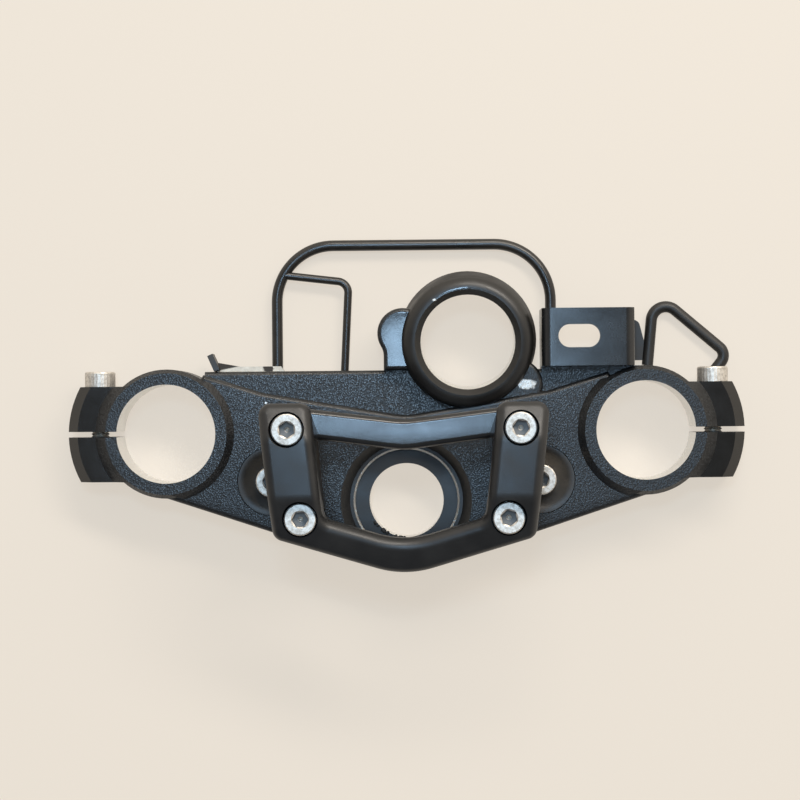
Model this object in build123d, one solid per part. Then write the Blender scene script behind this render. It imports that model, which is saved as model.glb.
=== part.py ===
from build123d import *
import math
import os

# Motorcycle upper yoke with a one-piece handlebar clamp and front cable guides.
# Millimetres. X to the rider's right, Y forward, Z up along the fork tubes.
# Origin: steering-stem axis at the level of the underside of the fork clamps.

# Fork tubes and steering stem
fork_spacing = 208.0
fork_offset = 30.0
fork_tube_dia = 43.0
stem_dia = 32.5

# Fork clamps
clamp_height = 28.0
clamp_wall = 6.6
clamp_face_step = 3.0
clamp_face_inset = 1.7
clamp_base_edge = 1.0
ear_reach = 43.7
ear_width = 41.6
ear_drop = 5.0
ear_lift = 2.0
ear_bevel = 4.6
slit_width = 2.4
pinch_wall = 4.7
pinch_spotface_depth = 1.4

# Deck of the casting
deck_wall = 7.0
deck_edge = 2.2
skirt_wall = 6.0
skirt_lift = 3.0
rib_wall = 5.0
ridge_center = 37.0
ridge_knee_x = 62.0
ridge_knee_setback = 10.6
ridge_end_inset = 16.0
ridge_end_setback = 2.6
ridge_round = 30.0
ridge_foot = 2.2
ridge_foot_rise = 4.5
ridge_foot_slope = 28.0
flank_inset = 1.3

# Front shelf, below the deck
shelf_drop = 8.0
shelf_thickness = 8.0
shelf_setback = 1.1
shelf_edge = 2.0

# Steering-stem recess
stem_boss_wall = 14.6
recess_top_dia = 57.0
recess_floor_dia = 49.4
recess_depth = 8.0
seat_dia = 44.8
seat_depth = 2.5
seat_edge = 0.8

# Ignition-switch ring and its lugs
switch_bore_dia = 41.0
ring_wall = 8.1
ring_lip = 2.5
ring_x = 27.3
ring_ahead = 68.5
ring_top = 31.0
ring_depth = 23.0
ring_lean = 4.0
ring_draft = 1.8
lug_radius = 11.0
lug_height = 16.0
lug_edge = 1.8
lug_hole_dia = 6.8
lug_hole_depth = 11.0
lug_left_bearing = 172.0
lug_right_bearing = -41.0
lug_neck_width = 19.3
lug_neck_length = 16.0
lug_neck_round = 8.0

# Handlebar
bar_dia = 22.2
bar_ahead = 12.5
bar_height = 67.0

# Handlebar upper clamp
crown_wall = 9.9
crown_ahead = 16.0
crown_behind = 9.0
crown_slope = 22.6
crown_round = 12.0
front_screw_x = 48.0
front_screw_ahead = 19.5
rear_screw_x = 42.8
rear_screw_behind = 17.3
screw_land = 8.5
leg_front_margin = 10.8
leg_rear_margin = 8.0
leg_outer_front = 12.3
leg_outer_rear = 11.3
leg_inner_margin = 9.4
leg_corner = 5.0
clamp_edge = 4.0
front_bar_edge = 2.5
bar_sweep = 40.0
front_bar_dip = 7.2
front_bar_width = 12.6
front_bar_top = 9.5
front_bar_shoulder = 3.0
rear_bar_reach = 41.7
rear_bar_width = 14.3
bar_underside = 2.5

# Handlebar risers
pocket_x = 58.4
pocket_ahead = 9.0
pocket_dia = 30.0
pocket_depth = 5.0
pocket_wall = 2.5
foot_clearance = 0.3
foot_rim = 1.5
foot_dish = 2.4
foot_seat_dia = 14.0
foot_head_room = 4.0
key_room_dia = 12.0
riser_inset = 1.2
riser_block_depth = 15.0
pillar_front = 16.0
pillar_back = 12.5
pillar_waist = 27.0
pillar_flare = 2.5
pillar_round = 6.0
riser_bolt_x = 44.5
riser_bolt_ahead = 18.0
riser_bolt_seat = 12.0
riser_bolt_boss_wall = 6.5

# Screws
m8_dia = 8.0
m8_head_dia = 13.0
m8_head_height = 8.0
m8_socket = 6.0
m5_dia = 5.0
m5_head_dia = 9.5
m5_head_height = 2.8
m5_socket = 3.0
socket_depth_share = 0.5
head_edge = 0.7
thread_gap = 0.1
clearance_gap = 0.35
head_gap = 0.9
clamp_screw_length = 25.0
foot_screw_length = 20.0
riser_bolt_length = 30.0
pinch_bolt_length = 40.0
plate_screw_length = 8.0
bracket_screw_length = 12.0
blind_gap = 1.0
overcut = 1.0

# Front cable guides
sheet = 2.5
plate_left = 84.0
plate_right = 20.0
plate_lip = 2.3
plate_lip_right = 55.0
plate_horn = 2.0
plate_horn_length = 11.0
plate_ridge_gap = 1.0
tongue_height = 10.0
tongue_length = 7.5
tongue_gap = 0.6
tongue_turn = 24.0
plate_screw_inner_x = 34.6
plate_screw_outer_x = 48.0
plate_screw_behind_edge = 6.5
loop_rod_dia = 4.8
loop_left_x = 56.8
loop_front = 112.6
loop_bend = 25.0
loop_foot = 4.5
small_rod_dia = 3.5
small_leg_x = 27.7
small_lean = 2.7
small_front = 96.2
small_rise = 3.4
small_bend = 5.0
small_foot = 13.5
weld_gap = 0.1

# Slot bracket and hose guide
bracket_left = 59.4
bracket_width = 40.1
bracket_depth = 25.0
bracket_top = 30.0
bracket_bend = 4.0
bracket_side_drop = 27.5
bracket_rear_drop = 24.0
slot_length = 18.0
slot_width = 10.0
slot_x = 75.4
slot_behind_front = 12.1
bracket_screw_spread = 22.0
bracket_screw_height = 11.5
pad_bottom = 4.0
pad_top = 20.0
pad_depth = 14.0
wing_weld = 8.5
wing_shoulder_x = 3.8
wing_shoulder = 19.4
wing_round = 3.0
guide_rod_dia = 5.0
guide_height = 2.9
guide_foot_gap = 0.3
guide_foot_shift = 7.5
guide_lean = 3.1
guide_apex_reach = 32.5
guide_far_shift = 32.3
guide_far_reach = 5.0
guide_tail_shift = 6.3
guide_tail = 8.0
guide_apex_bend = 6.4
guide_far_bend = 4.7

# Values worked out from the sizes above
fork_x = fork_spacing / 2
clamp_radius = fork_tube_dia / 2 + clamp_wall
clamp_front = fork_offset + clamp_radius
deck_top = clamp_height - clamp_face_step
deck_bottom = deck_top - deck_wall
shelf_top = deck_top - shelf_drop
shelf_bottom = shelf_top - shelf_thickness
shelf_front = clamp_front - shelf_setback
stem_boss_radius = stem_dia / 2 + stem_boss_wall
ear_top = clamp_height - ear_drop
pinch_x = fork_tube_dia / 2 + pinch_wall + m8_dia / 2 + clearance_gap
pinch_z = (ear_lift + ear_top) / 2
pinch_seat_y = fork_offset + ear_width / 2 - pinch_spotface_depth
ridge_knee_y = clamp_front - ridge_knee_setback
ridge_end_x = fork_x - ridge_end_inset
ridge_end_y = clamp_front - ridge_end_setback
ring_radius = switch_bore_dia / 2 + ring_wall
ring_plane = Plane(
    origin=(ring_x, ring_ahead, ring_top),
    x_dir=(1, 0, 0),
    z_dir=(0, -math.sin(math.radians(ring_lean)), math.cos(math.radians(ring_lean))),
)
face_radius = clamp_radius - clamp_face_inset
pocket_floor = deck_top - pocket_depth
front_screw_y = bar_ahead + front_screw_ahead
rear_screw_y = bar_ahead - rear_screw_behind
crown_top = bar_height + bar_dia / 2 + crown_wall
seat_z = bar_height + screw_land
sides = {"left": -1, "right": 1}


def mirrored_outline(right_half):
    """Close an outline from the points of its right half, front to back."""
    left_half = [(-x, y) for x, y in reversed(right_half) if x > 0]
    return make_face(Polyline(right_half + left_half, close=True))


def round_corner(face, corner, radius):
    """Round the corner of a flat outline that lies nearest to a point."""
    vertex = face.vertices().sort_by_distance((corner[0], corner[1], 0))[0]
    return fillet(vertex, radius)


def lifted(face, bottom, top):
    """A flat outline raised into a solid between two heights."""
    return Pos(0, 0, bottom) * extrude(face, top - bottom)


def turned(points):
    """A solid of revolution about Z from radius and height pairs."""
    return revolve(Plane.XZ * make_face(Polyline(points, close=True)), Axis.Z)


def post(x, y, radius, bottom, top):
    """An upright round post."""
    return Pos(x, y, bottom) * extrude(Circle(radius), top - bottom)


def lying_post(x, z, radius, back, front):
    """A round post that lies along Y."""
    return Pos(x, back, z) * Rot(-90, 0, 0) * extrude(Circle(radius), front - back)


def socket_screw(dia, head_dia, head_height, socket, length):
    """A socket screw with its seat at the origin and its shank along -Z."""
    radius = dia / 2
    head_radius = head_dia / 2
    body = turned(
        [
            (0, -length),
            (radius - head_edge, -length),
            (radius, -length + head_edge),
            (radius, 0),
            (head_radius, 0),
            (head_radius, head_height - head_edge),
            (head_radius - head_edge, head_height),
            (0, head_height),
        ]
    )
    depth = head_height * socket_depth_share
    hexagon = RegularPolygon(socket / 2, 6, major_radius=False)
    return body - lifted(hexagon, head_height - depth, head_height)


def m8_screw(length):
    """An M8 socket head cap screw."""
    return socket_screw(m8_dia, m8_head_dia, m8_head_height, m8_socket, length)


def m5_screw(length):
    """An M5 button head screw."""
    return socket_screw(m5_dia, m5_head_dia, m5_head_height, m5_socket, length)


def bent_rod(points, radii, dia):
    """A round rod along straight runs joined by tangent bends."""
    path = FilletPolyline(*points, radius=radii)
    section = Plane(origin=path @ 0, z_dir=path % 0) * Circle(dia / 2)
    return sweep(section, path)


def lug_place(bearing):
    """A place at the foot of the switch ring's outer wall, square to the ring."""
    angle = math.radians(bearing)
    x, y = ring_radius * math.cos(angle), ring_radius * math.sin(angle)
    return ring_plane.location * Pos(x, y, -ring_depth)


def switch_lug(bearing, outline):
    """A lug with a level, rounded top, its underside flush with that of the switch ring."""
    top = (lug_place(bearing) * Pos(0, 0, lug_height)).position
    body = Pos(top.X, top.Y, 0) * extrude(outline, top.Z)
    body = fillet(body.faces().sort_by(Axis.Z)[-1].edges(), lug_edge)
    above_ring_foot = extrude(Circle(2 * ring_radius), 2 * ring_depth)
    return body & ring_plane.location * Pos(0, 0, -ring_depth) * above_ring_foot


def deck_outline():
    """Plan of the deck: V ridge in front, straight flanks between the bosses behind."""
    fork_reach = clamp_radius - flank_inset
    span = math.hypot(fork_x, fork_offset)
    slope = math.atan2(fork_offset, fork_x) + math.asin((stem_boss_radius - fork_reach) / span)
    out_x, out_y = math.sin(slope), -math.cos(slope)
    face = mirrored_outline(
        [
            (0, ridge_center),
            (ridge_knee_x, ridge_knee_y),
            (ridge_end_x, ridge_end_y),
            (fork_x, fork_offset),
            (fork_x + fork_reach * out_x, fork_offset + fork_reach * out_y),
            (stem_boss_radius * out_x, stem_boss_radius * out_y),
        ]
    )
    for corner in [(0, ridge_center), (ridge_knee_x, ridge_knee_y), (-ridge_knee_x, ridge_knee_y)]:
        face = round_corner(face, corner, ridge_round)
    return face + Circle(stem_boss_radius)


def fork_clamp(side):
    """Fork clamp boss and its two-sided ear, before the bore and slit."""
    boss = turned(
        [
            (0, 0),
            (clamp_radius - clamp_base_edge, 0),
            (clamp_radius, clamp_base_edge),
            (clamp_radius, deck_top),
            (face_radius, clamp_height),
            (0, clamp_height),
        ]
    )
    strip = Pos(side * ear_reach / 2, 0) * Rectangle(ear_reach, ear_width)
    ear = lifted(Circle(ear_reach) & strip, ear_lift, ear_top)
    rim = ear.faces().sort_by(Axis.Z)[-1].edges().filter_by(GeomType.CIRCLE)
    ear = chamfer(rim, ear_bevel)
    collar = clamp_flare(ear_top) & lifted(strip, ear_top, clamp_height)
    return Pos(side * fork_x, fork_offset) * (boss + ear + collar)


def clamp_flare(bottom):
    """Cone that eases the face of a fork clamp down to a lower level."""
    foot_radius = face_radius + clamp_height - bottom
    return turned([(0, bottom), (foot_radius, bottom), (face_radius, clamp_height), (0, clamp_height)])


def switch_ring():
    """Rounded ring that carries the ignition switch, before its bore."""
    crest = switch_bore_dia / 2 + ring_lip
    round_over = ring_radius - crest
    section = make_face(
        Polyline((0, -ring_depth), (ring_radius + ring_draft, -ring_depth), (ring_radius, -round_over))
        + RadiusArc((ring_radius, -round_over), (crest, 0), -round_over)
        + Polyline((crest, 0), (0, 0), (0, -ring_depth))
    )
    return ring_plane.location * revolve(Plane.XZ * section, Axis.Z)


def switch_bore():
    """Bore of the switch ring with its wide inner bevel."""
    radius = switch_bore_dia / 2
    over = ring_depth
    bore = turned(
        [
            (0, -ring_depth - over),
            (radius, -ring_depth - over),
            (radius, -ring_lip),
            (radius + ring_lip, 0),
            (radius + ring_lip, over),
            (0, over),
        ]
    )
    return ring_plane.location * bore


def stem_cavity():
    """Conical recess, seat and bore for the steering stem."""
    floor_z = deck_top - recess_depth
    seat = floor_z - seat_depth
    slope = (recess_top_dia - recess_floor_dia) / 2 / recess_depth
    return turned(
        [
            (0, -overcut),
            (stem_dia / 2, -overcut),
            (stem_dia / 2, seat),
            (seat_dia / 2, seat),
            (seat_dia / 2, floor_z - seat_edge),
            (seat_dia / 2 + seat_edge, floor_z),
            (recess_floor_dia / 2, floor_z),
            (recess_top_dia / 2 + slope * overcut, deck_top + overcut),
            (0, deck_top + overcut),
        ]
    )


def top_yoke():
    """The casting with all its bores, pockets and screw holes."""
    outline = deck_outline()
    deck = lifted(outline, skirt_lift, deck_top)
    deck = fillet(deck.faces().sort_by(Axis.Z)[-1].outer_wire().edges(), deck_edge)
    deck -= lifted(offset(outline, -skirt_wall), 0, deck_bottom)

    shelf_depth = shelf_front - ridge_center + skirt_wall
    shelf = Pos(0, shelf_front - shelf_depth / 2) * Rectangle(2 * ridge_end_x, shelf_depth)
    shelf = lifted(shelf, shelf_bottom, shelf_top)
    front_edge = shelf.edges().filter_by(Axis.X).group_by(Axis.Y)[-1].sort_by(Axis.Z)[-1]
    shelf = fillet(front_edge, shelf_edge)
    shelf -= lifted(offset(outline, -skirt_wall), 0, deck_bottom)
    foot = extrude(offset(outline, ridge_foot), ridge_foot_rise, taper=ridge_foot_slope)
    reach = shelf_depth - shelf_edge
    front = Pos(0, shelf_front - shelf_edge - reach / 2) * Rectangle(2 * ridge_end_x, reach)
    foot = Pos(0, 0, shelf_top) * foot & lifted(front, shelf_top, deck_top)
    casting = deck + shelf + foot

    pad_width = fork_x - bracket_left
    pad = Pos(bracket_left + pad_width / 2, clamp_front - pad_depth / 2) * Rectangle(pad_width, pad_depth)
    casting += lifted(pad, pad_bottom, pad_top)
    casting += post(0, 0, stem_boss_radius, 0, deck_bottom)
    for side in sides.values():
        span = math.hypot(fork_x, fork_offset)
        bearing = math.degrees(math.atan2(fork_offset, side * fork_x))
        rib = Rot(0, 0, bearing) * Pos(span / 2, 0) * Rectangle(span, rib_wall)
        casting += lifted(rib, skirt_lift, deck_bottom)
        pocket_boss = pocket_dia / 2 + pocket_wall
        casting += post(side * pocket_x, pocket_ahead, pocket_boss, skirt_lift, pocket_floor)
        bolt_boss = m8_dia / 2 + riser_bolt_boss_wall
        casting += post(side * riser_bolt_x, riser_bolt_ahead, bolt_boss, riser_bolt_seat, deck_bottom)
        casting += fork_clamp(side)
        flare = Pos(side * fork_x, fork_offset) * clamp_flare(deck_top)
        casting += flare & lifted(offset(outline, -deck_edge), deck_top, clamp_height)

    casting += switch_ring()
    neck_x = lug_radius - lug_neck_width / 2
    neck = Pos(neck_x, -lug_neck_length / 2) * Rectangle(lug_neck_width, lug_neck_length)
    neck_left = neck_x - lug_neck_width / 2
    root = (neck_left, -math.sqrt(lug_radius**2 - neck_left**2))
    necked = round_corner(Circle(lug_radius) + neck, root, lug_neck_round)
    casting += switch_lug(lug_left_bearing, necked)
    casting += switch_lug(lug_right_bearing, Circle(lug_radius))
    lug = lug_place(lug_left_bearing).position
    neck_depth = lug.Y - ridge_center
    neck = Pos(lug.X + neck_x, lug.Y - neck_depth / 2) * Rectangle(lug_neck_width, neck_depth)
    casting += lifted(neck, shelf_bottom, shelf_top)

    casting -= stem_cavity()
    casting -= switch_bore()
    for bearing in (lug_left_bearing, lug_right_bearing):
        casting -= lug_place(bearing) * post(0, 0, lug_hole_dia / 2, -overcut, lug_hole_depth)
    for side in sides.values():
        above = clamp_height + overcut
        casting -= post(side * fork_x, fork_offset, fork_tube_dia / 2, -overcut, above)
        slit_length = ear_reach + overcut
        slit = Pos(side * (fork_x + slit_length / 2), fork_offset) * Rectangle(slit_length, slit_width)
        casting -= lifted(slit, -overcut, above)
        bolt_x = side * (fork_x + pinch_x)
        before = fork_offset + ear_width / 2 + overcut
        behind = fork_offset - ear_width / 2 - overcut
        spotface = m8_head_dia / 2 + head_gap
        casting -= lying_post(bolt_x, pinch_z, m8_dia / 2 + clearance_gap, fork_offset, before)
        casting -= lying_post(bolt_x, pinch_z, m8_dia / 2 + thread_gap, behind, fork_offset)
        casting -= lying_post(bolt_x, pinch_z, spotface, pinch_seat_y, before)
        x = side * pocket_x
        casting -= post(x, pocket_ahead, pocket_dia / 2, pocket_floor, deck_top + overcut)
        depth = foot_screw_length + blind_gap - foot_dish
        casting -= post(x, pocket_ahead, m8_dia / 2 + thread_gap, pocket_floor - depth, pocket_floor)
        x = side * riser_bolt_x
        casting -= post(x, riser_bolt_ahead, m8_dia / 2 + clearance_gap, 0, deck_top + overcut)
        casting -= post(x, riser_bolt_ahead, m8_head_dia / 2 + head_gap, 0, riser_bolt_seat)
    for x in (plate_screw_inner_x, plate_screw_outer_x):
        depth = plate_screw_length - sheet + blind_gap
        y = shelf_front - plate_screw_behind_edge
        casting -= post(-x, y, m5_dia / 2 + thread_gap, shelf_bottom - overcut, shelf_bottom + depth)
    for x in bracket_screw_places():
        depth = bracket_screw_length - sheet + blind_gap
        hole = m5_dia / 2 + thread_gap
        end = clamp_front + overcut
        casting -= lying_post(x, bracket_screw_height, hole, clamp_front - depth, end)
    return casting


def bracket_screw_places():
    """The two screws of the slot bracket, either side of its middle."""
    middle = bracket_left + bracket_width / 2
    return middle - bracket_screw_spread / 2, middle + bracket_screw_spread / 2


def screw_places():
    """Names and places of the four screws of the handlebar upper clamp."""
    places = {}
    for name, side in sides.items():
        places[f"front_{name}"] = (side * front_screw_x, front_screw_y)
        places[f"rear_{name}"] = (side * rear_screw_x, rear_screw_y)
    return places


def leg_corners(inset):
    """Corners of the right leg's plan: inner front, outer front, outer rear, inner rear."""
    front = front_screw_y + leg_front_margin - inset
    rear = rear_screw_y - leg_rear_margin + inset
    return [
        (front_screw_x - leg_inner_margin + inset, front),
        (front_screw_x + leg_outer_front - inset, front),
        (rear_screw_x + leg_outer_rear - inset, rear),
        (rear_screw_x - leg_inner_margin + inset, rear),
    ]


def bar_cut():
    """The round seat of the handlebar, along X through both legs."""
    reach = front_screw_x + leg_outer_front + overcut
    seat = extrude(Circle(bar_dia / 2), reach, both=True)
    return Pos(0, bar_ahead, bar_height) * Rot(0, 90, 0) * seat


def rounded_top(body, radius):
    """Round the edges all along the upper faces of a solid."""
    tops = body.faces().filter_by(lambda face: face.normal_at().Z > 0.5)
    rims = [edge for face in tops for edge in face.edges()]
    rims = [edge for edge in rims if sum(edge.is_same(other) for other in rims) == 1]
    return fillet(rims, radius)


def handlebar_upper_clamp():
    """One casting: two arched legs, a low front bar and a sloping rear bar."""
    inner_front, outer_front, outer_rear, inner_rear = leg_corners(0)
    front = inner_front[1]
    bar_front = front - front_bar_dip
    bar_rear = bar_ahead - rear_bar_reach
    slope = math.tan(math.radians(crown_slope))
    front_knee = (bar_ahead + crown_ahead, crown_top)
    rear_knee = (bar_ahead - crown_behind, crown_top)
    arch = make_face(
        Polyline(
            (bar_rear, bar_height),
            (front, bar_height),
            (front, crown_top - slope * (front - front_knee[0])),
            front_knee,
            rear_knee,
            (bar_rear, crown_top - slope * (rear_knee[0] - bar_rear)),
            close=True,
        )
    )
    for knee in (front_knee, rear_knee):
        arch = round_corner(arch, knee, crown_round)
    arch = extrude(Plane.YZ * arch, outer_front[0], both=True)

    window_rear = bar_rear + rear_bar_width
    window_corner = (inner_rear[0], rear_screw_y)
    plan = mirrored_outline(
        [(0, window_rear), window_corner, inner_front, outer_front, outer_rear, (0, bar_rear)]
    )
    for side in sides.values():
        for x, y in (window_corner, inner_front, outer_front, outer_rear):
            plan = round_corner(plan, (side * x, y), leg_corner)
    plan = round_corner(plan, (0, bar_rear), bar_sweep)
    plan = round_corner(plan, (0, window_rear), bar_sweep)
    body = rounded_top(lifted(plan, bar_height, crown_top) & arch, clamp_edge)
    under_depth = outer_rear[1] - bar_rear
    under = Pos(0, outer_rear[1] - under_depth / 2) * Rectangle(2 * outer_front[0], under_depth)
    body -= lifted(under, bar_height, bar_height + bar_underside)
    between = Pos(0, bar_ahead) * Rectangle(2 * inner_rear[0], 2 * (bar_ahead - bar_rear))
    body -= lifted(between, bar_height, bar_height + bar_underside)

    leg_root = (front_screw_x + rear_screw_x) / 2
    window_front = bar_front - front_bar_width
    shoulder = front - front_bar_width - front_bar_edge
    front_band = mirrored_outline(
        [
            (0, bar_front),
            (inner_front[0], front - front_bar_edge),
            (leg_root, front - front_bar_edge),
            (leg_root, shoulder),
            (inner_front[0] - front_bar_shoulder, shoulder),
            (0, window_front),
        ]
    )
    front_band = round_corner(front_band, (0, bar_front), bar_sweep)
    front_band = round_corner(front_band, (0, window_front), bar_sweep)
    band = lifted(front_band, bar_height + bar_underside, bar_height + front_bar_top)
    body += rounded_top(band, front_bar_edge)

    body -= bar_cut()
    for x, y in screw_places().values():
        body -= post(x, y, m8_dia / 2 + clearance_gap, bar_height, crown_top)
        body -= post(x, y, m8_head_dia / 2 + head_gap, seat_z, crown_top)
    return body


def handlebar_riser(side):
    """Lower half of one handlebar clamp, its pillar and its round foot."""
    plan = make_face(Polyline([(side * x, y) for x, y in leg_corners(riser_inset)], close=True))
    plan = fillet(plan.vertices(), leg_corner - riser_inset)
    front = front_screw_y + leg_front_margin
    rear = rear_screw_y - leg_rear_margin
    middle = pocket_ahead + pillar_flare
    block_bottom = bar_height - riser_block_depth
    waist = bar_height - pillar_waist
    bends = [
        (front, block_bottom),
        (middle + pillar_front, waist),
        (middle - pillar_back, waist),
        (rear, block_bottom),
    ]
    profile = make_face(
        Polyline(
            (rear, bar_height),
            (front, bar_height),
            *bends[:2],
            (middle + pillar_front + pillar_flare, deck_top),
            (middle - pillar_back - pillar_flare, deck_top),
            *bends[2:],
            close=True,
        )
    )
    for bend in bends:
        profile = round_corner(profile, bend, pillar_round)
    width = front_screw_x + leg_outer_front + overcut
    web = extrude(Plane.YZ * profile, width, both=True)
    body = lifted(plan, deck_top, bar_height) & web
    foot_radius = pocket_dia / 2 - foot_clearance
    foot = turned(
        [
            (0, 0),
            (foot_radius, 0),
            (foot_radius, pocket_depth),
            (foot_radius - foot_rim, pocket_depth),
            (foot_seat_dia / 2, foot_dish),
            (0, foot_dish),
        ]
    )
    place = Pos(side * pocket_x, pocket_ahead, pocket_floor)
    head_room = foot_seat_dia / 2 + head_gap
    body -= place * post(0, 0, head_room, foot_dish, foot_dish + m8_head_height + foot_head_room)
    body -= place * post(0, 0, key_room_dia / 2, foot_dish, bar_height)
    body += place * foot
    body -= place * post(0, 0, m8_dia / 2 + clearance_gap, -overcut, foot_dish + overcut)
    body -= bar_cut()
    for y, x in ((front_screw_y, front_screw_x), (rear_screw_y, rear_screw_x)):
        bottom = seat_z - clamp_screw_length - blind_gap
        body -= post(side * x, y, m8_dia / 2 + thread_gap, bottom, bar_height + overcut)
    top = riser_bolt_seat + riser_bolt_length + blind_gap
    body -= post(side * riser_bolt_x, riser_bolt_ahead, m8_dia / 2 + thread_gap, pocket_floor, top)
    return body


def ridge_line(x):
    """How far ahead the deck's ridge lies at a distance from the middle."""
    if abs(x) < ridge_knee_x:
        share = abs(x) / ridge_knee_x
        return ridge_center + share * (ridge_knee_y - ridge_center)
    share = (abs(x) - ridge_knee_x) / (ridge_end_x - ridge_knee_x)
    return ridge_knee_y + share * (ridge_end_y - ridge_knee_y)


def guide_plate():
    """Steel strip under the shelf with a lip in front and a turned-up tongue."""
    front = shelf_front
    lip = front + plate_lip
    strip = make_face(
        Polyline(
            (-plate_right, ridge_line(plate_right) + plate_ridge_gap),
            (-plate_right, front - plate_ridge_gap),
            (-plate_lip_right + plate_lip, front - plate_ridge_gap),
            (-plate_lip_right, lip),
            (-plate_left + plate_horn_length, lip),
            (-plate_left, lip + plate_horn),
            (-plate_left, ridge_line(plate_left) + plate_ridge_gap),
            (-ridge_knee_x, ridge_line(ridge_knee_x) + plate_ridge_gap),
            close=True,
        )
    )
    body = lifted(strip, shelf_bottom - sheet, shelf_bottom)
    tongue = Pos(0, tongue_length / 2) * Rectangle(sheet, tongue_length)
    tongue = lifted(tongue, shelf_bottom - sheet, shelf_bottom - sheet + tongue_height)
    body += Pos(-plate_left + sheet / 2, front + tongue_gap) * Rot(0, 0, tongue_turn) * tongue
    for x in (plate_screw_inner_x, plate_screw_outer_x):
        y = front - plate_screw_behind_edge
        below = shelf_bottom - sheet - overcut
        body -= post(-x, y, m5_dia / 2 + clearance_gap, below, shelf_bottom + overcut)
    return body


def front_cable_loop(growth=0):
    """Large rod loop, welded under the plate and inside the bracket, or the same grown all round."""
    z = shelf_bottom - sheet - loop_rod_dia / 2
    right_x = bracket_left + sheet + loop_rod_dia / 2
    points = [
        (-loop_left_x, shelf_front - loop_foot, z),
        (-loop_left_x, loop_front, z),
        (right_x, loop_front, z),
        (right_x, clamp_front + sheet + loop_foot, z),
    ]
    return bent_rod(points, loop_bend, loop_rod_dia + 2 * growth)


def small_cable_loop():
    """Thin rod from the plate, bent over and coped to the side of the large loop."""
    z = shelf_bottom - sheet - small_rod_dia / 2
    end_y = small_front + small_rise
    arc_y = loop_front - loop_bend
    arc_x = -loop_left_x + loop_bend
    end_x = arc_x - math.sqrt(loop_bend**2 - (end_y - arc_y) ** 2)
    points = [
        (-small_leg_x, shelf_front - small_foot, z),
        (-small_leg_x + small_lean, small_front, z),
        (end_x, end_y, z),
    ]
    return bent_rod(points, small_bend, small_rod_dia) - front_cable_loop(weld_gap)


def slot_bracket():
    """Folded sheet: slotted top, two side flanges, a rear flange and a low wing."""
    right = bracket_left + bracket_width
    front = clamp_front + bracket_depth
    middle = bracket_left + bracket_width / 2
    outer = Pos(middle, clamp_front + bracket_depth / 2) * Rectangle(bracket_width, bracket_depth)
    side_bottom = bracket_top - bracket_side_drop
    top = lifted(outer, side_bottom, bracket_top)
    folds = top.edges().filter_by(Axis.Y).group_by(Axis.Z)[-1]
    top = fillet(folds, bracket_bend)
    inner = Pos(middle, clamp_front + sheet + bracket_depth / 2)
    inner = inner * Rectangle(bracket_width - 2 * sheet, bracket_depth)
    inner = lifted(inner, side_bottom - overcut, bracket_top - sheet)
    folds = inner.edges().filter_by(Axis.Y).group_by(Axis.Z)[-1]
    inner = fillet(folds, bracket_bend - sheet)
    body = top - inner
    low = Pos(middle, clamp_front) * Rectangle(bracket_width - 2 * sheet, 2 * (sheet + overcut))
    body -= lifted(low, 0, bracket_top - bracket_rear_drop)
    slot = Pos(slot_x, front - slot_behind_front) * SlotOverall(slot_length, slot_width)
    body -= lifted(slot, bracket_top - sheet - overcut, bracket_top + overcut)
    foot, apex = guide_leg()
    lean = math.atan2(apex[0] - foot[0], apex[1] - foot[1])
    side_gap = guide_rod_dia / 2 / math.cos(lean) + weld_gap
    back = clamp_front + sheet
    shoulder = (right + wing_shoulder_x, clamp_front + wing_shoulder)
    wing = make_face(
        Polyline(
            (right - sheet, front - sheet),
            (right - sheet, back),
            (foot[0] + (back - foot[1]) * math.tan(lean) - side_gap, back),
            (foot[0] + (back + wing_weld - foot[1]) * math.tan(lean) - side_gap, back + wing_weld),
            shoulder,
            close=True,
        )
    )
    wing = round_corner(wing, shoulder, wing_round)
    body += lifted(wing, side_bottom, side_bottom + sheet)
    for x in bracket_screw_places():
        hole = m5_dia / 2 + clearance_gap
        end = clamp_front + sheet + overcut
        body -= lying_post(x, bracket_screw_height, hole, clamp_front - overcut, end)
    return body


def guide_leg():
    """Foot and apex of the hose guide's straight leg, in plan."""
    foot = (bracket_left + bracket_width + guide_foot_shift, clamp_front + guide_foot_gap)
    return foot, (foot[0] + guide_lean, clamp_front + guide_apex_reach)


def hose_guide():
    """Bent rod welded to the bracket's wing, with its free end below the pinch bolt's head."""
    foot, apex = guide_leg()
    far = (apex[0] + guide_far_shift, clamp_front + guide_far_reach)
    tail = (far[0] - guide_tail_shift, far[1] - guide_tail)
    points = [(x, y, guide_height) for x, y in (foot, apex, far, tail)]
    return bent_rod(points, [guide_apex_bend, guide_far_bend], guide_rod_dia)


nodes = {
    "top_yoke": top_yoke(),
    "handlebar_upper_clamp": handlebar_upper_clamp(),
    "guide_plate": guide_plate(),
    "front_cable_loop": front_cable_loop(),
    "small_cable_loop": small_cable_loop(),
    "slot_bracket": slot_bracket(),
    "hose_guide": hose_guide(),
}
for place, (x, y) in screw_places().items():
    nodes[f"clamp_screw_{place}"] = Pos(x, y, seat_z) * m8_screw(clamp_screw_length)
for name, side in sides.items():
    nodes[f"handlebar_riser_{name}"] = handlebar_riser(side)
    foot_seat = Pos(side * pocket_x, pocket_ahead, pocket_floor + foot_dish)
    nodes[f"riser_foot_screw_{name}"] = foot_seat * m8_screw(foot_screw_length)
    bolt_seat = Pos(side * riser_bolt_x, riser_bolt_ahead, riser_bolt_seat) * Rot(180, 0, 0)
    nodes[f"riser_bolt_{name}"] = bolt_seat * m8_screw(riser_bolt_length)
    pinch_seat = Pos(side * (fork_x + pinch_x), pinch_seat_y, pinch_z) * Rot(-90, 0, 0)
    nodes[f"fork_pinch_bolt_{name}"] = pinch_seat * m8_screw(pinch_bolt_length)
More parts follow.
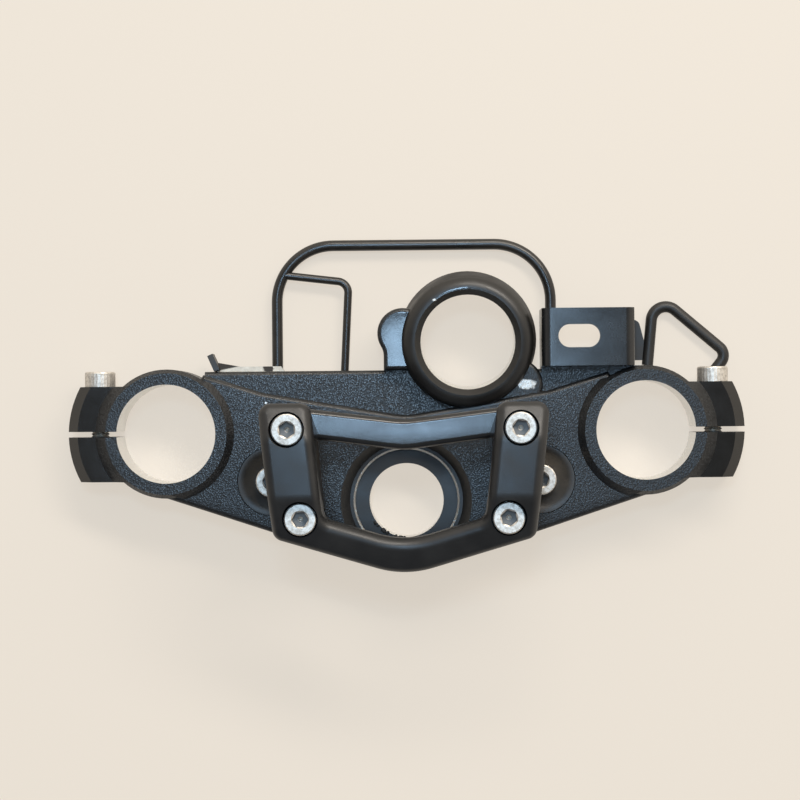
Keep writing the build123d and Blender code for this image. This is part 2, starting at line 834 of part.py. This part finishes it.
for name, x in (("inner", plate_screw_inner_x), ("outer", plate_screw_outer_x)):
    plate_seat = Pos(-x, shelf_front - plate_screw_behind_edge, shelf_bottom - sheet) * Rot(180, 0, 0)
    nodes[f"guide_plate_screw_{name}"] = plate_seat * m5_screw(plate_screw_length)
for name, x in zip(sides, bracket_screw_places()):
    bracket_seat = Pos(x, clamp_front + sheet, bracket_screw_height) * Rot(-90, 0, 0)
    nodes[f"bracket_screw_{name}"] = bracket_seat * m5_screw(bracket_screw_length)

os.makedirs("parts", exist_ok=True)
for name, solid in nodes.items():
    export_step(solid, f"parts/{name}.step")
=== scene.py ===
import math

import bmesh
import bpy
from mathutils import Matrix, Vector


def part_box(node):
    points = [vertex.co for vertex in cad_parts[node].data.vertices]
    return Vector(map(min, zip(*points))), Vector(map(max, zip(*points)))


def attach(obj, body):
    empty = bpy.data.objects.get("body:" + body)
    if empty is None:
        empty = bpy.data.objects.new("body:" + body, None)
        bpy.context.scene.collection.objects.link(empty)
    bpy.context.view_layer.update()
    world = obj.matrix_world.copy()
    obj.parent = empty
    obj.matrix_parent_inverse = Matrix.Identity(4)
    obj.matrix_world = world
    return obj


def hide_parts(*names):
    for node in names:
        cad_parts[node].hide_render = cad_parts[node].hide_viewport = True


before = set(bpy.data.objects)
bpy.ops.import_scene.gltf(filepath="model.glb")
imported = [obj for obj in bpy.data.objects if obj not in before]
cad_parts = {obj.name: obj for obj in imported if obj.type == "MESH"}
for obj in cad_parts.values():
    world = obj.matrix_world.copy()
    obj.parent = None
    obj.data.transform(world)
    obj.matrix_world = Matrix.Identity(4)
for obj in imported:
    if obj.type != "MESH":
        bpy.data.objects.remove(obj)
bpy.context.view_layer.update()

# Top yoke: one aluminium casting with split fork clamps, stem boss and switch ring.
# Its deck and boss faces carry a grainy black powder coat, the ears and the ring a smooth
# black paint; the bores are machined bare after coating, and a few chips show the metal.

MM = 0.001


def add_node(tree, kind, inputs=None, **settings):
    """One shader node with its settings and plain input values."""
    made = tree.nodes.new(kind)
    for key, value in settings.items():
        setattr(made, key, value)
    for key, value in (inputs or {}).items():
        made.inputs[key].default_value = value
    return made


def new_finish(name, color, roughness, metallic=0.0):
    """A material with its shader's own colour, roughness and metal set."""
    finish = bpy.data.materials.new(name)
    finish.use_nodes = True
    shader = finish.node_tree.nodes["Principled BSDF"]
    shader.inputs["Base Color"].default_value = (*color, 1.0)
    shader.inputs["Roughness"].default_value = roughness
    shader.inputs["Metallic"].default_value = metallic
    return finish, finish.node_tree, shader


def object_place(tree):
    """The place on the part, in metres."""
    return add_node(tree, "ShaderNodeTexCoord").outputs["Object"]


def noise(tree, place, scale, detail=2.0, rough=0.5):
    """Cloudy noise with this many features to the metre."""
    made = add_node(
        tree, "ShaderNodeTexNoise", {"Scale": scale, "Detail": detail, "Roughness": rough}
    )
    tree.links.new(place, made.inputs["Vector"])
    return made.outputs["Fac"]


def spread(tree, value, low, high, out_low=0.0, out_high=1.0):
    """A value taken from one range to another, held at the ends."""
    made = add_node(
        tree,
        "ShaderNodeMapRange",
        {"From Min": low, "From Max": high, "To Min": out_low, "To Max": out_high},
    )
    tree.links.new(value, made.inputs["Value"])
    return made.outputs["Result"]


def math_of(tree, operation, first, second):
    """Two values put together by one sum."""
    made = add_node(tree, "ShaderNodeMath", operation=operation)
    for socket, value in zip(made.inputs, (first, second)):
        if isinstance(value, (int, float)):
            socket.default_value = value
        else:
            tree.links.new(value, socket)
    return made.outputs["Value"]


def two_colors(tree, share, first, second):
    """A colour between two, by a share; each is three numbers or another colour's socket."""
    made = add_node(tree, "ShaderNodeMix", data_type="RGBA")
    for key, color in (("A", first), ("B", second)):
        if isinstance(color, tuple):
            made.inputs[key].default_value = (*color, 1.0)
        else:
            tree.links.new(color, made.inputs[key])
    tree.links.new(share, made.inputs["Factor"])
    return made.outputs["Result"]


def add_bump(tree, shader, height, depth):
    """A height map of this depth, in metres, on the shader's normal."""
    bump = add_node(tree, "ShaderNodeBump", {"Strength": 1.0, "Distance": depth})
    tree.links.new(height, bump.inputs["Height"])
    tree.links.new(bump.outputs["Normal"], shader.inputs["Normal"])


def chips(tree, place, spots):
    """A share that is one on ragged spots: each has a centre and three reaches in mm."""
    coat_edge = 1.6
    bare_edge = 1.35
    ragged = noise(tree, place, 900.0, 3.0, 0.6)
    total = None
    for center, reach in spots:
        shift = add_node(tree, "ShaderNodeVectorMath", operation="SUBTRACT")
        tree.links.new(place, shift.inputs[0])
        shift.inputs[1].default_value = [MM * c for c in center]
        scale = add_node(tree, "ShaderNodeVectorMath", operation="DIVIDE")
        tree.links.new(shift.outputs["Vector"], scale.inputs[0])
        scale.inputs[1].default_value = [MM * r for r in reach]
        length = add_node(tree, "ShaderNodeVectorMath", operation="LENGTH")
        tree.links.new(scale.outputs["Vector"], length.inputs[0])
        edge = math_of(tree, "ADD", length.outputs["Value"], ragged)
        spot = spread(tree, edge, coat_edge, bare_edge)
        total = math_of(tree, "MAXIMUM", total, spot) if total else spot
    return total


def pimples(tree, place, scale):
    """Round bumps with this many to the metre: one at their tops, falling off to the sides."""
    cells = add_node(tree, "ShaderNodeTexVoronoi", {"Scale": scale})
    tree.links.new(place, cells.inputs["Vector"])
    away = cells.outputs["Distance"]
    return math_of(tree, "SUBTRACT", 1.0, math_of(tree, "MULTIPLY", away, away))


def powder_coat(spots):
    """Grainy black powder coat whose grain tops carry painted highlights and pale glints, and bare
    metal where it is chipped.
    """
    pit_color = (0.004, 0.0043, 0.0047)
    painted_glint_color = (0.03, 0.032, 0.034)
    metal_color = (0.6, 0.59, 0.56)
    finish, tree, shader = new_finish("powder_coat", (0.012, 0.013, 0.015), 0.4)
    place = object_place(tree)
    grain = pimples(tree, place, 1350.0)
    # The paler colour on each grain's top is a painted highlight, standing in for the lamp's glints on
    # the coat.
    shade = two_colors(tree, spread(tree, grain, 0.82, 0.96), pit_color, painted_glint_color)
    worn = chips(tree, place, spots)
    tree.links.new(two_colors(tree, worn, shade, metal_color), shader.inputs["Base Color"])
    tree.links.new(math_of(tree, "MULTIPLY", worn, 0.5), shader.inputs["Metallic"])
    tree.links.new(spread(tree, grain, 0.7, 0.94, 0.46, 0.24), shader.inputs["Roughness"])
    add_bump(tree, shader, grain, 0.1 * MM)
    return finish


def satin_black(name, color, roughness, rubbed_color, spots=(), specular=0.5):
    """Smooth black paint with faint orange peel, rubbed patches and bare chips."""
    metal_color = (0.6, 0.58, 0.55)
    finish, tree, shader = new_finish(name, color, roughness)
    shader.inputs["Specular IOR Level"].default_value = specular
    place = object_place(tree)
    peel = noise(tree, place, 620.0, 1.0)
    rubbed = noise(tree, place, 70.0, 5.0, 0.6)
    shade = two_colors(tree, spread(tree, rubbed, 0.4, 0.75), color, rubbed_color)
    if spots:
        worn = chips(tree, place, spots)
        shade = two_colors(tree, worn, shade, metal_color)
        tree.links.new(math_of(tree, "MULTIPLY", worn, 0.5), shader.inputs["Metallic"])
    tree.links.new(shade, shader.inputs["Base Color"])
    rough = spread(tree, rubbed, 0.3, 0.8, roughness * 0.85, roughness * 1.3)
    tree.links.new(rough, shader.inputs["Roughness"])
    add_bump(tree, shader, peel, 0.012 * MM)
    return finish


def bare_aluminium():
    """Machined aluminium with fine turning marks across the bore's axis."""
    finish, tree, shader = new_finish("bare_aluminium", (0.86, 0.85, 0.82), 0.34, 1.0)
    place = object_place(tree)
    stretch = add_node(tree, "ShaderNodeMapping", {"Scale": (60.0, 60.0, 4200.0)})
    tree.links.new(place, stretch.inputs["Vector"])
    marks = noise(tree, stretch.outputs["Vector"], 1.0, 2.0)
    cloud = noise(tree, place, 90.0, 3.0)
    shade = two_colors(tree, cloud, (0.76, 0.75, 0.72), (0.93, 0.92, 0.89))
    tree.links.new(shade, shader.inputs["Base Color"])
    tree.links.new(spread(tree, marks, 0.3, 0.7, 0.32, 0.5), shader.inputs["Roughness"])
    add_bump(tree, shader, marks, 0.02 * MM)
    return finish


def shade_smooth(bm, hard_angle):
    """Smooth faces, with a hard line at each edge that turns by more than this many degrees."""
    for face in bm.faces:
        face.smooth = True
    for edge in bm.edges:
        edge.smooth = edge.calc_face_angle(math.pi) < math.radians(hard_angle)


def new_piece(name, bm, finishes):
    """An object made from a bmesh, which is then let go, with its finishes."""
    mesh = bpy.data.meshes.new(name)
    bm.to_mesh(mesh)
    bm.free()
    for finish in finishes:
        mesh.materials.append(finish)
    piece = bpy.data.objects.new(name, mesh)
    bpy.context.scene.collection.objects.link(piece)
    return piece


def skin(node, finishes, choose=None, cut=None):
    """A merged copy of a node's mesh, smooth over its rounds, with a named finish for each face.

    Faces get the first finish where nothing chooses. A cut is the Y of a line on which the
    faces are split first.
    """
    same_point = 0.002 * MM
    names = list(finishes)
    bm = bmesh.new()
    bm.from_mesh(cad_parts[node].data)
    for layer in list(bm.loops.layers.float_vector.values()):
        bm.loops.layers.float_vector.remove(layer)
    bmesh.ops.remove_doubles(bm, verts=bm.verts, dist=same_point)
    if cut is not None:
        everything = [*bm.verts, *bm.edges, *bm.faces]
        bmesh.ops.bisect_plane(bm, geom=everything, plane_co=(0, cut, 0), plane_no=(0, 1, 0))
    for face in bm.faces:
        chosen = choose(face.calc_center_median(), face.normal) if choose else names[0]
        face.material_index = names.index(chosen)
    shade_smooth(bm, hard_angle=26)
    piece = new_piece(f"{node}_skin", bm, finishes.values())
    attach(piece, "root")
    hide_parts(node)
    return piece


fork_center = Vector((104, 30)) * MM
fork_bore = 21.5 * MM
fork_boss = 28.1 * MM
ear_top = 23 * MM
ring_center = Vector((27.3, 68.5, 31)) * MM
ring_lean = math.radians(4)
ring_axis = Vector((0, -math.sin(ring_lean), math.cos(ring_lean)))
ring_bore = 20.5 * MM
ring_foot = 30.5 * MM
ring_depth = 23 * MM
crown_slope = 0.2
lug_top = 24.29 * MM
shelf_front = 57 * MM
stem_bore = 16.25 * MM
seat_edge = (22.3 * MM, 23.3 * MM)
seat_edge_slope = (0.2, 0.95)
recess = 28.6 * MM
deck_top = 25 * MM
level = 0.999
slack = 0.1 * MM


def ring_finish(center, normal, radius):
    """The finish on the switch ring: its bore, its lugs' level tops, its crown or its flank."""
    if radius < ring_bore + slack:
        return "bare metal"
    if normal.z > level:
        return "left lug" if center.x < ring_center.x else "powder coat"
    return "ring crown" if normal.dot(ring_axis) > crown_slope else "ring flank"


def recess_finish(normal, from_stem):
    """The finish around the stem: its bore, the rubbed edge of the nut's seat, or dull paint."""
    if from_stem < stem_bore + slack:
        return "bare metal"
    on_edge = seat_edge[0] < from_stem < seat_edge[1]
    sloping = seat_edge_slope[0] < normal.z < seat_edge_slope[1]
    return "bare metal" if on_edge and sloping else "recess"


def yoke_finish(center, normal):
    """The finish on a face of the yoke, by its place and the way it faces."""
    from_fork = math.hypot(abs(center.x) - fork_center.x, center.y - fork_center.y)
    if from_fork < fork_bore + slack:
        return "bare metal"
    outside = abs(center.x) > fork_center.x and from_fork > fork_boss - slack
    if outside and center.z < ear_top + slack:
        return "ears"
    from_ring = center - ring_center
    height = from_ring.dot(ring_axis)
    radius = (from_ring - ring_axis * height).length
    if radius < ring_foot and height > -ring_depth - slack:
        return ring_finish(center, normal, radius)
    if normal.z > level and abs(center.z - lug_top) < slack and center.y > shelf_front:
        return "left lug"
    from_stem = math.hypot(center.x, center.y)
    if from_stem < recess and center.z < deck_top + slack:
        return recess_finish(normal, from_stem)
    return "powder coat"


deck_chips = [
    ((52.6, 50.3, 24), (4.4, 2.2, 6)),
    ((-60.6, 43.2, 21), (0.9, 0.7, 6)),
]
ring_chips = [((12.9, 86.9, 30), (1.0, 0.6, 4))]
ring_black = (0.0085, 0.008, 0.0075)
lug_black = (0.0085, 0.009, 0.0095)
ear_black = (0.0075, 0.007, 0.0062)
recess_black = (0.009, 0.0092, 0.0095)
yoke_finishes = {
    "powder coat": powder_coat(deck_chips),
    "ring crown": satin_black("ring_paint", ring_black, 0.38, (0.016, 0.0145, 0.0125), ring_chips),
    "bare metal": bare_aluminium(),
    "recess": satin_black("recess_paint", recess_black, 0.44, (0.02, 0.02, 0.02)),
    "left lug": satin_black("lug_paint", lug_black, 0.14, (0.03, 0.032, 0.035), deck_chips[:1]),
    "ears": satin_black("ear_paint", ear_black, 0.15, (0.012, 0.0105, 0.0088)),
    "ring flank": satin_black("flank_paint", ring_black, 0.45, (0.018, 0.0165, 0.0145), specular=0.15),
}
yoke = skin("top_yoke", yoke_finishes, yoke_finish)

# Crumbs of old grease: dark lumps left on the rim of the stem's seat by the nut.
# They cling to the rear edge of the bore.

crumb_places = [
    ((-13.9, -9.9), 0.8),
    ((-12.6, -11.2), 0.6),
    ((-10.2, -13.3), 1.1),
    ((-8.4, -14.3), 0.7),
    ((-4.9, -16.1), 0.9),
    ((-2.9, -16.5), 1.2),
    ((-1.0, -16.7), 0.8),
]
crumb_shape = Matrix.Diagonal((1.3, 0.9, 0.5, 1.0))
crumb_rise = 0.25
crumb_lump = 0.15 * MM
lump_waves = (2900, 4100)
seat_top = 14.5 * MM
bm = bmesh.new()
for (x, y), size in crumb_places:
    spot = Matrix.Translation((x * MM, y * MM, seat_top + crumb_rise * size * MM))
    spot = spot @ Matrix.Rotation(x, 4, "Z") @ crumb_shape
    bmesh.ops.create_icosphere(bm, subdivisions=2, radius=size * MM, matrix=spot)
for vert in bm.verts:
    wave = math.sin(lump_waves[0] * vert.co.x + lump_waves[1] * vert.co.y)
    vert.co += vert.normal * crumb_lump * wave
for face in bm.faces:
    face.smooth = True
old_grease = satin_black("old_grease", (0.006, 0.0055, 0.005), 0.6, (0.02, 0.017, 0.013))
crumbs = new_piece("grease_crumbs", bm, [old_grease])
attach(crumbs, "root")

# Handlebar risers: cast pillars bolted to the deck from below, each with a dished round foot.
# Smooth black paint over cast aluminium, with brown patches scattered over it.

riser_paint = satin_black("riser_paint", (0.011, 0.009, 0.007), 0.42, (0.036, 0.029, 0.021))
for side in ("left", "right"):
    riser = skin(f"handlebar_riser_{side}", {"paint": riser_paint})

# Handlebar upper clamp: one casting with arched legs, a low front bar and a sloping rear bar.
# Smooth black paint, glossier on the front bar; four socket screws hold it down.

clamp_screws = [Vector(place) * MM for place in ((48, 32), (-48, 32), (42.8, -4.8), (-42.8, -4.8))]
counterbore = 7.45 * MM
front_bar_half = 33 * MM
front_bar_rear = 15 * MM


def clamp_finish(center, normal):
    """The glossy front bar, the duller legs and rear bar, or painted shade in the counterbores around
    the screw heads.
    """
    if any((center.xy - place).length < counterbore for place in clamp_screws):
        return "painted_counterbore_shade"
    return "bar" if abs(center.x) < front_bar_half and center.y > front_bar_rear else "legs"


clamp_black = (0.0085, 0.0086, 0.009)
clamp_rubbed = (0.014, 0.0137, 0.0133)
# The near-black matte paint in the counterbores is painted shade, standing in for the shadow down in
# these deep narrow holes.
clamp_finishes = {
    "bar": satin_black("bar_paint", clamp_black, 0.21, clamp_rubbed),
    "legs": satin_black("leg_paint", clamp_black, 0.39, clamp_rubbed),
    "painted_counterbore_shade": satin_black("painted_counterbore_shade", (0.004, 0.0038, 0.0035), 0.8, (0.012, 0.01, 0.008)),
}
clamp = skin("handlebar_upper_clamp", clamp_finishes, clamp_finish)

# Socket screws: plated steel, with turned heads, broached hexagon sockets and rolled threads.
# Cap screws hold the bar clamp, the risers and the fork clamps; button heads hold the guides.

SEGMENTS = 60


def plated_steel():
    """Dull plating with cloudy stains."""
    finish, tree, shader = new_finish("plated_steel", (0.55, 0.52, 0.48), 0.45, 1.0)
    place = object_place(tree)
    cloud = noise(tree, place, 700.0, 4.0, 0.6)
    fine = noise(tree, place, 1800.0, 2.0)
    stain = spread(tree, cloud, 0.36, 0.6)
    shade = two_colors(tree, stain, (0.5, 0.47, 0.425), (0.76, 0.72, 0.66))
    tree.links.new(shade, shader.inputs["Base Color"])
    tree.links.new(spread(tree, cloud, 0.3, 0.7, 0.6, 0.52), shader.inputs["Roughness"])
    add_bump(tree, shader, fine, 0.025 * MM)
    return finish


def hexagon(across):
    """How far a hexagon's edge lies from its middle, by bearing."""
    step = math.pi / 3
    return lambda angle: across / 2 / math.cos((angle + step / 2) % step - step / 2)


def circle(radius, knurl=0.0):
    """How far a circle lies from its middle, with every second point drawn in by the knurl."""
    return lambda angle: radius - knurl * (round(angle * SEGMENTS / math.tau) % 2)


def grow_ring(bm, edges, bearings):
    """Grows a band of faces from an open ring: its new edges, and the bearings of its new points."""
    grown = bmesh.ops.extrude_edge_only(bm, edges=edges)["geom"]
    fresh = {part for part in grown if isinstance(part, bmesh.types.BMVert)}
    ring = [part for part in grown if isinstance(part, bmesh.types.BMEdge)]
    new_bearings = {}
    for vert in fresh:
        neighbours = [edge.other_vert(vert) for edge in vert.link_edges]
        new_bearings[vert] = next(bearings[other] for other in neighbours if other in bearings)
    return [edge for edge in ring if fresh.issuperset(edge.verts)], new_bearings


def set_order(bm, order):
    """Sorts a mesh by its points' numbers, because an extrude gives its parts in no fixed order."""
    bm.verts.sort(key=order.get)
    count = len(order)
    for parts in (bm.edges, bm.faces):
        numbers = {part: sorted(order[vert] for vert in part.verts) for part in parts}
        parts.sort(key=lambda part: numbers[part][0] * count + numbers[part][-1])


def ringed(name, rings, place, finishes, dark):
    """A piece grown ring by ring from an inner point, then set in place.

    A ring is its reach by bearing and its height, in mm. The bands that start at the rings
    numbered as dark get the second finish.
    """
    bm = bmesh.new()
    verts = bmesh.ops.create_circle(bm, segments=SEGMENTS, radius=1.0)["verts"]
    edges = list(bm.edges)
    bearings = {vert: math.atan2(vert.co.y, vert.co.x) % math.tau for vert in verts}
    order = {}
    for index, (reach, height) in enumerate(rings):
        if index:
            edges, bearings = grow_ring(bm, edges, bearings)
            for face in {face for vert in bearings for face in vert.link_faces}:
                face.material_index = 1 if index - 1 in dark else 0
        for vert, angle in bearings.items():
            radius = MM * reach(angle)
            vert.co = (radius * math.cos(angle), radius * math.sin(angle), MM * height)
            order[vert] = index * SEGMENTS + round(angle * SEGMENTS / math.tau) % SEGMENTS
    bmesh.ops.holes_fill(bm, edges=bm.edges, sides=SEGMENTS)
    bmesh.ops.recalc_face_normals(bm, faces=bm.faces)
    shade_smooth(bm, hard_angle=20)
    set_order(bm, order)
    bm.transform(place)
    return new_piece(name, bm, finishes)


def threads(radius, top, end, pitch):
    """Rings of a rolled thread, in mm, from its top down to a bevelled end."""
    rings = []
    height = top
    while height > end + 1.5 * pitch:
        rings += [(circle(radius), height), (circle(radius - 0.55 * pitch), height - pitch / 2)]
        height -= pitch
    return rings + [(circle(radius), height), (circle(radius - 0.6 * pitch), end)]


cap_height = 8
button_height = 2.8


def cap_screw(length):
    """Rings of an M8 cap screw, in mm, from the drill point in its socket to the shank's end."""
    shank = 4
    head = 6.7
    knurl = 0.09
    across_flats = 6
    return [
        (circle(0.2), 3.4),
        (circle(1.1), 4.0),
        (hexagon(across_flats), 4.2),
        (hexagon(across_flats), cap_height - 0.4),
        (circle(3.7), cap_height),
        (circle(6.1), cap_height),
        (circle(6.45), cap_height - 0.2),
        (circle(head, knurl), cap_height - 0.7),
        (circle(head, knurl), 0.5),
        (circle(6.4), 0),
        (circle(shank), 0),
        (circle(shank), -2),
    ] + threads(shank, -3, -length, 1.25)


def button_screw(length):
    """Rings of an M5 button head screw, in mm, from its socket to the shank's end."""
    shank = 2.5
    across_flats = 3
    return [
        (circle(0.2), 1.1),
        (circle(0.6), 1.4),
        (hexagon(across_flats), 1.4),
        (hexagon(across_flats), button_height - 0.1),
        (circle(1.9), button_height),
        (circle(2.6), 2.75),
        (circle(3.6), 2.3),
        (circle(4.4), 1.4),
        (circle(4.75), 0.5),
        (circle(4.7), 0),
        (circle(shank), 0),
    ] + threads(shank, -0.8, -length, 0.8)


# The socket's floor around its drill point and its walls take a dark grey: painted shade inside the
# narrow socket; the drill point keeps the plating.
painted_socket_shade = satin_black("painted_socket_shade", (0.1, 0.098, 0.094), 0.45, (0.26, 0.255, 0.245))
screw_finishes = [plated_steel(), painted_socket_shade]
socket_bands = (1, 2)
CAP = (cap_screw, cap_height)
BUTTON = (button_screw, button_height)
UP = Vector((0, 0, 1))
DOWN = Vector((0, 0, -1))
FORWARD = Vector((0, 1, 0))
screws = [
    ("clamp_screw_front_left", CAP, UP, 4),
    ("clamp_screw_front_right", CAP, UP, 22),
    ("clamp_screw_rear_left", CAP, UP, 31),
    ("clamp_screw_rear_right", CAP, UP, 12),
    ("riser_foot_screw_left", CAP, UP, 17),
    ("riser_foot_screw_right", CAP, UP, 40),
    ("riser_bolt_left", CAP, DOWN, 8),
    ("riser_bolt_right", CAP, DOWN, 27),
    ("fork_pinch_bolt_left", CAP, FORWARD, 10),
    ("fork_pinch_bolt_right", CAP, FORWARD, 35),
    ("guide_plate_screw_inner", BUTTON, DOWN, 5),
    ("guide_plate_screw_outer", BUTTON, DOWN, 38),
    ("bracket_screw_left", BUTTON, FORWARD, 20),
    ("bracket_screw_right", BUTTON, FORWARD, 50),
]
for name, (rings_of, head_height), way, turn in screws:
    low, high = (Vector(corner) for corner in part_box(name))
    half_length = abs((high - low).dot(way)) / 2
    head_seat = (low + high) / 2 + way * (half_length - head_height * MM)
    shank_length = 2 * half_length / MM - head_height
    axis = way.to_track_quat("Z", "X").to_matrix().to_4x4()
    screw_place = Matrix.Translation(head_seat) @ axis @ Matrix.Rotation(math.radians(turn), 4, "Z")
    screw = ringed(f"{name}_piece", rings_of(shank_length), screw_place, screw_finishes, socket_bands)
    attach(screw, "root")
    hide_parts(name)

# Cable guides: bent steel rods and folded sheet, welded together and painted satin black.
# The plate's front lip is rubbed to bare grey where the cables lie over it.

lip_top = 9.2 * MM
lip_slope = 0.7
lip_slant = 0.206
lip_rust = (74.3 * MM, 74.9 * MM)
lip_welds = [((-60.6, 58.4, 9), (2.4, 1.8, 9))]
bracket_right = 99.4 * MM


def rubbed_lip():
    """Steel rubbed bare, with rust along the lip's front and a dark stain at the weld."""
    finish, tree, shader = new_finish("rubbed_steel", (0.6, 0.57, 0.5), 0.6, 0.2)
    place = object_place(tree)
    rub = noise(tree, place, 300.0, 4.0, 0.6)
    shade = two_colors(tree, spread(tree, rub, 0.35, 0.65), (0.5, 0.47, 0.41), (0.68, 0.645, 0.57))
    split = add_node(tree, "ShaderNodeSeparateXYZ")
    tree.links.new(place, split.inputs["Vector"])
    slant = math_of(tree, "MULTIPLY", split.outputs["X"], lip_slant)
    rust = spread(tree, math_of(tree, "SUBTRACT", split.outputs["Y"], slant), *lip_rust)
    stain = math_of(tree, "MAXIMUM", rust, chips(tree, place, lip_welds))
    tree.links.new(two_colors(tree, stain, shade, (0.03, 0.023, 0.016)), shader.inputs["Base Color"])
    add_bump(tree, shader, rub, 0.04 * MM)
    return finish


def plate_finish(center, normal):
    """Rubbed steel on top of the lip ahead of the shelf, paint elsewhere."""
    on_lip = center.y > shelf_front and center.z < lip_top
    return "rubbed" if on_lip and normal.z > lip_slope else "paint"


def bracket_finish(center, normal):
    """Dull paint on the wing welded to the right side, satin paint elsewhere."""
    return "dull" if center.x > bracket_right else "paint"


guide_paint = satin_black("guide_paint", (0.0095, 0.0085, 0.0075), 0.3, (0.024, 0.02, 0.016))
bracket_paint = satin_black("bracket_paint", (0.009, 0.0092, 0.0098), 0.24, (0.013, 0.013, 0.013))
dull_paint = satin_black("dull_paint", (0.01, 0.0088, 0.0075), 0.5, (0.02, 0.017, 0.014))
plate_paint = satin_black("plate_paint", (0.012, 0.0095, 0.007), 0.42, (0.035, 0.028, 0.02))
plate_finishes = {"paint": plate_paint, "rubbed": rubbed_lip()}
bracket_finishes = {"paint": bracket_paint, "dull": dull_paint}
guides = [
    skin("guide_plate", plate_finishes, plate_finish, cut=shelf_front),
    skin("front_cable_loop", {"paint": guide_paint}),
    skin("small_cable_loop", {"paint": guide_paint}),
    skin("slot_bracket", bracket_finishes, bracket_finish),
    skin("hose_guide", {"paint": dull_paint}),
]

# Table: a plain pale top that the part lies on, painted a faintly cloudy cream.
# The camera and the paint's reflections see a share of its own plain colour, so the
# shadows on it stay faint.

table_half = 3.0
table_color = (0.81, 0.738, 0.645)
table_cloud = tuple(0.985 * c for c in table_color)
own_share = 0.76
table_paint, table_tree, table_shader = new_finish("pale_table", table_color, 0.6)
cloud = noise(table_tree, object_place(table_tree), 3.0, 2.0)
tint = two_colors(table_tree, cloud, table_cloud, table_color)
table_tree.links.new(tint, table_shader.inputs["Base Color"])
glow = add_node(table_tree, "ShaderNodeEmission", {"Color": (*table_color, 1.0), "Strength": 1.0})
ray = add_node(table_tree, "ShaderNodeLightPath")
seen = math_of(table_tree, "MAXIMUM", ray.outputs["Is Camera Ray"], ray.outputs["Is Glossy Ray"])
blend = add_node(table_tree, "ShaderNodeMixShader")
table_tree.links.new(math_of(table_tree, "MULTIPLY", seen, own_share), blend.inputs["Fac"])
table_tree.links.new(table_shader.outputs["BSDF"], blend.inputs[1])
table_tree.links.new(glow.outputs["Emission"], blend.inputs[2])
table_tree.links.new(blend.outputs["Shader"], table_tree.nodes["Material Output"].inputs["Surface"])
bm = bmesh.new()
bmesh.ops.create_grid(bm, x_segments=1, y_segments=1, size=table_half)
table_top = new_piece("table_top", bm, [table_paint])

# Light: two cool lamps high over the part, one of them well ahead of it, and a long warm
# window low in front, to the right.
# The room around is pale ahead, dim behind and dim overhead.


def soft_panel(name, place, target, width, depth, radiance, color):
    """A flat lamp that faces a point, with the brightness of its face."""
    lamp = bpy.data.lights.new(name, "AREA")
    lamp.shape = "RECTANGLE"
    lamp.size = width
    lamp.size_y = depth
    lamp.energy = radiance * math.pi * width * depth
    lamp.color = color
    panel = bpy.data.objects.new(name, lamp)
    panel.location = place
    panel.rotation_euler = (Vector(target) - Vector(place)).to_track_quat("-Z", "Y").to_euler()
    bpy.context.scene.collection.objects.link(panel)


part_middle = (0, 0.04, 0)
cool = (0.48, 0.73, 1.0)
warm = (1.0, 0.93, 0.84)
soft_panel("overhead_lamp", (-0.055, 0.06, 1.75), part_middle, 0.22, 0.26, 20.0, cool)
soft_panel("front_lamp", (-0.05, 0.46, 1.7), part_middle, 0.24, 0.2, 50.0, cool)
soft_panel("warm_window", (0.45, 1.05, 1.15), part_middle, 1.3, 0.26, 20.0, warm)
wall_behind = (0.2, 0.21, 0.23)
wall_ahead = (1.35, 1.22, 1.05)
ceiling = (0.22, 0.21, 0.2)
right_share = 0.3
world = bpy.data.worlds.new("room")
world.use_nodes = True
room = world.node_tree
toward = add_node(room, "ShaderNodeSeparateXYZ")
room.links.new(add_node(room, "ShaderNodeTexCoord").outputs["Generated"], toward.inputs["Vector"])
rightward = math_of(room, "MULTIPLY", toward.outputs["X"], right_share)
ahead = math_of(room, "ADD", toward.outputs["Y"], rightward)
walls = two_colors(room, spread(room, ahead, -0.8, 0.8), wall_behind, wall_ahead)
around = two_colors(room, spread(room, toward.outputs["Z"], 0.5, 0.92), walls, ceiling)
room.links.new(around, room.nodes["Background"].inputs["Color"])
bpy.context.scene.world = world
bpy.context.scene.view_settings.view_transform = "Standard"

# Camera: a plain lens a metre above the part, looking almost straight down.
# It is set by the point of the picture that lies right below it and by a slight roll.

picture_side = 800
focal_pixels = 2310.5
pixel_below = (438, 405)
camera_place = Vector((14.15, 41.73, 1028)) * MM
roll = 0.00915
aside = (pixel_below[0] - picture_side / 2) / focal_pixels
under = (pixel_below[1] - picture_side / 2) / focal_pixels
look = Vector((-aside, under, -1)).normalized()
right = Vector((1, 0, 0)) - look * look.x
right.normalize()
up = right.cross(look)
turned_right = right * math.cos(roll) - up * math.sin(roll)
turned_up = right * math.sin(roll) + up * math.cos(roll)
lens = bpy.data.cameras.new("camera")
lens.sensor_width = 36.0
lens.lens = focal_pixels * lens.sensor_width / picture_side
camera = bpy.data.objects.new("camera", lens)
camera_axes = Matrix((turned_right, turned_up, -look)).transposed().to_4x4()
camera.matrix_world = Matrix.Translation(camera_place) @ camera_axes
bpy.context.scene.collection.objects.link(camera)
bpy.context.scene.camera = camera
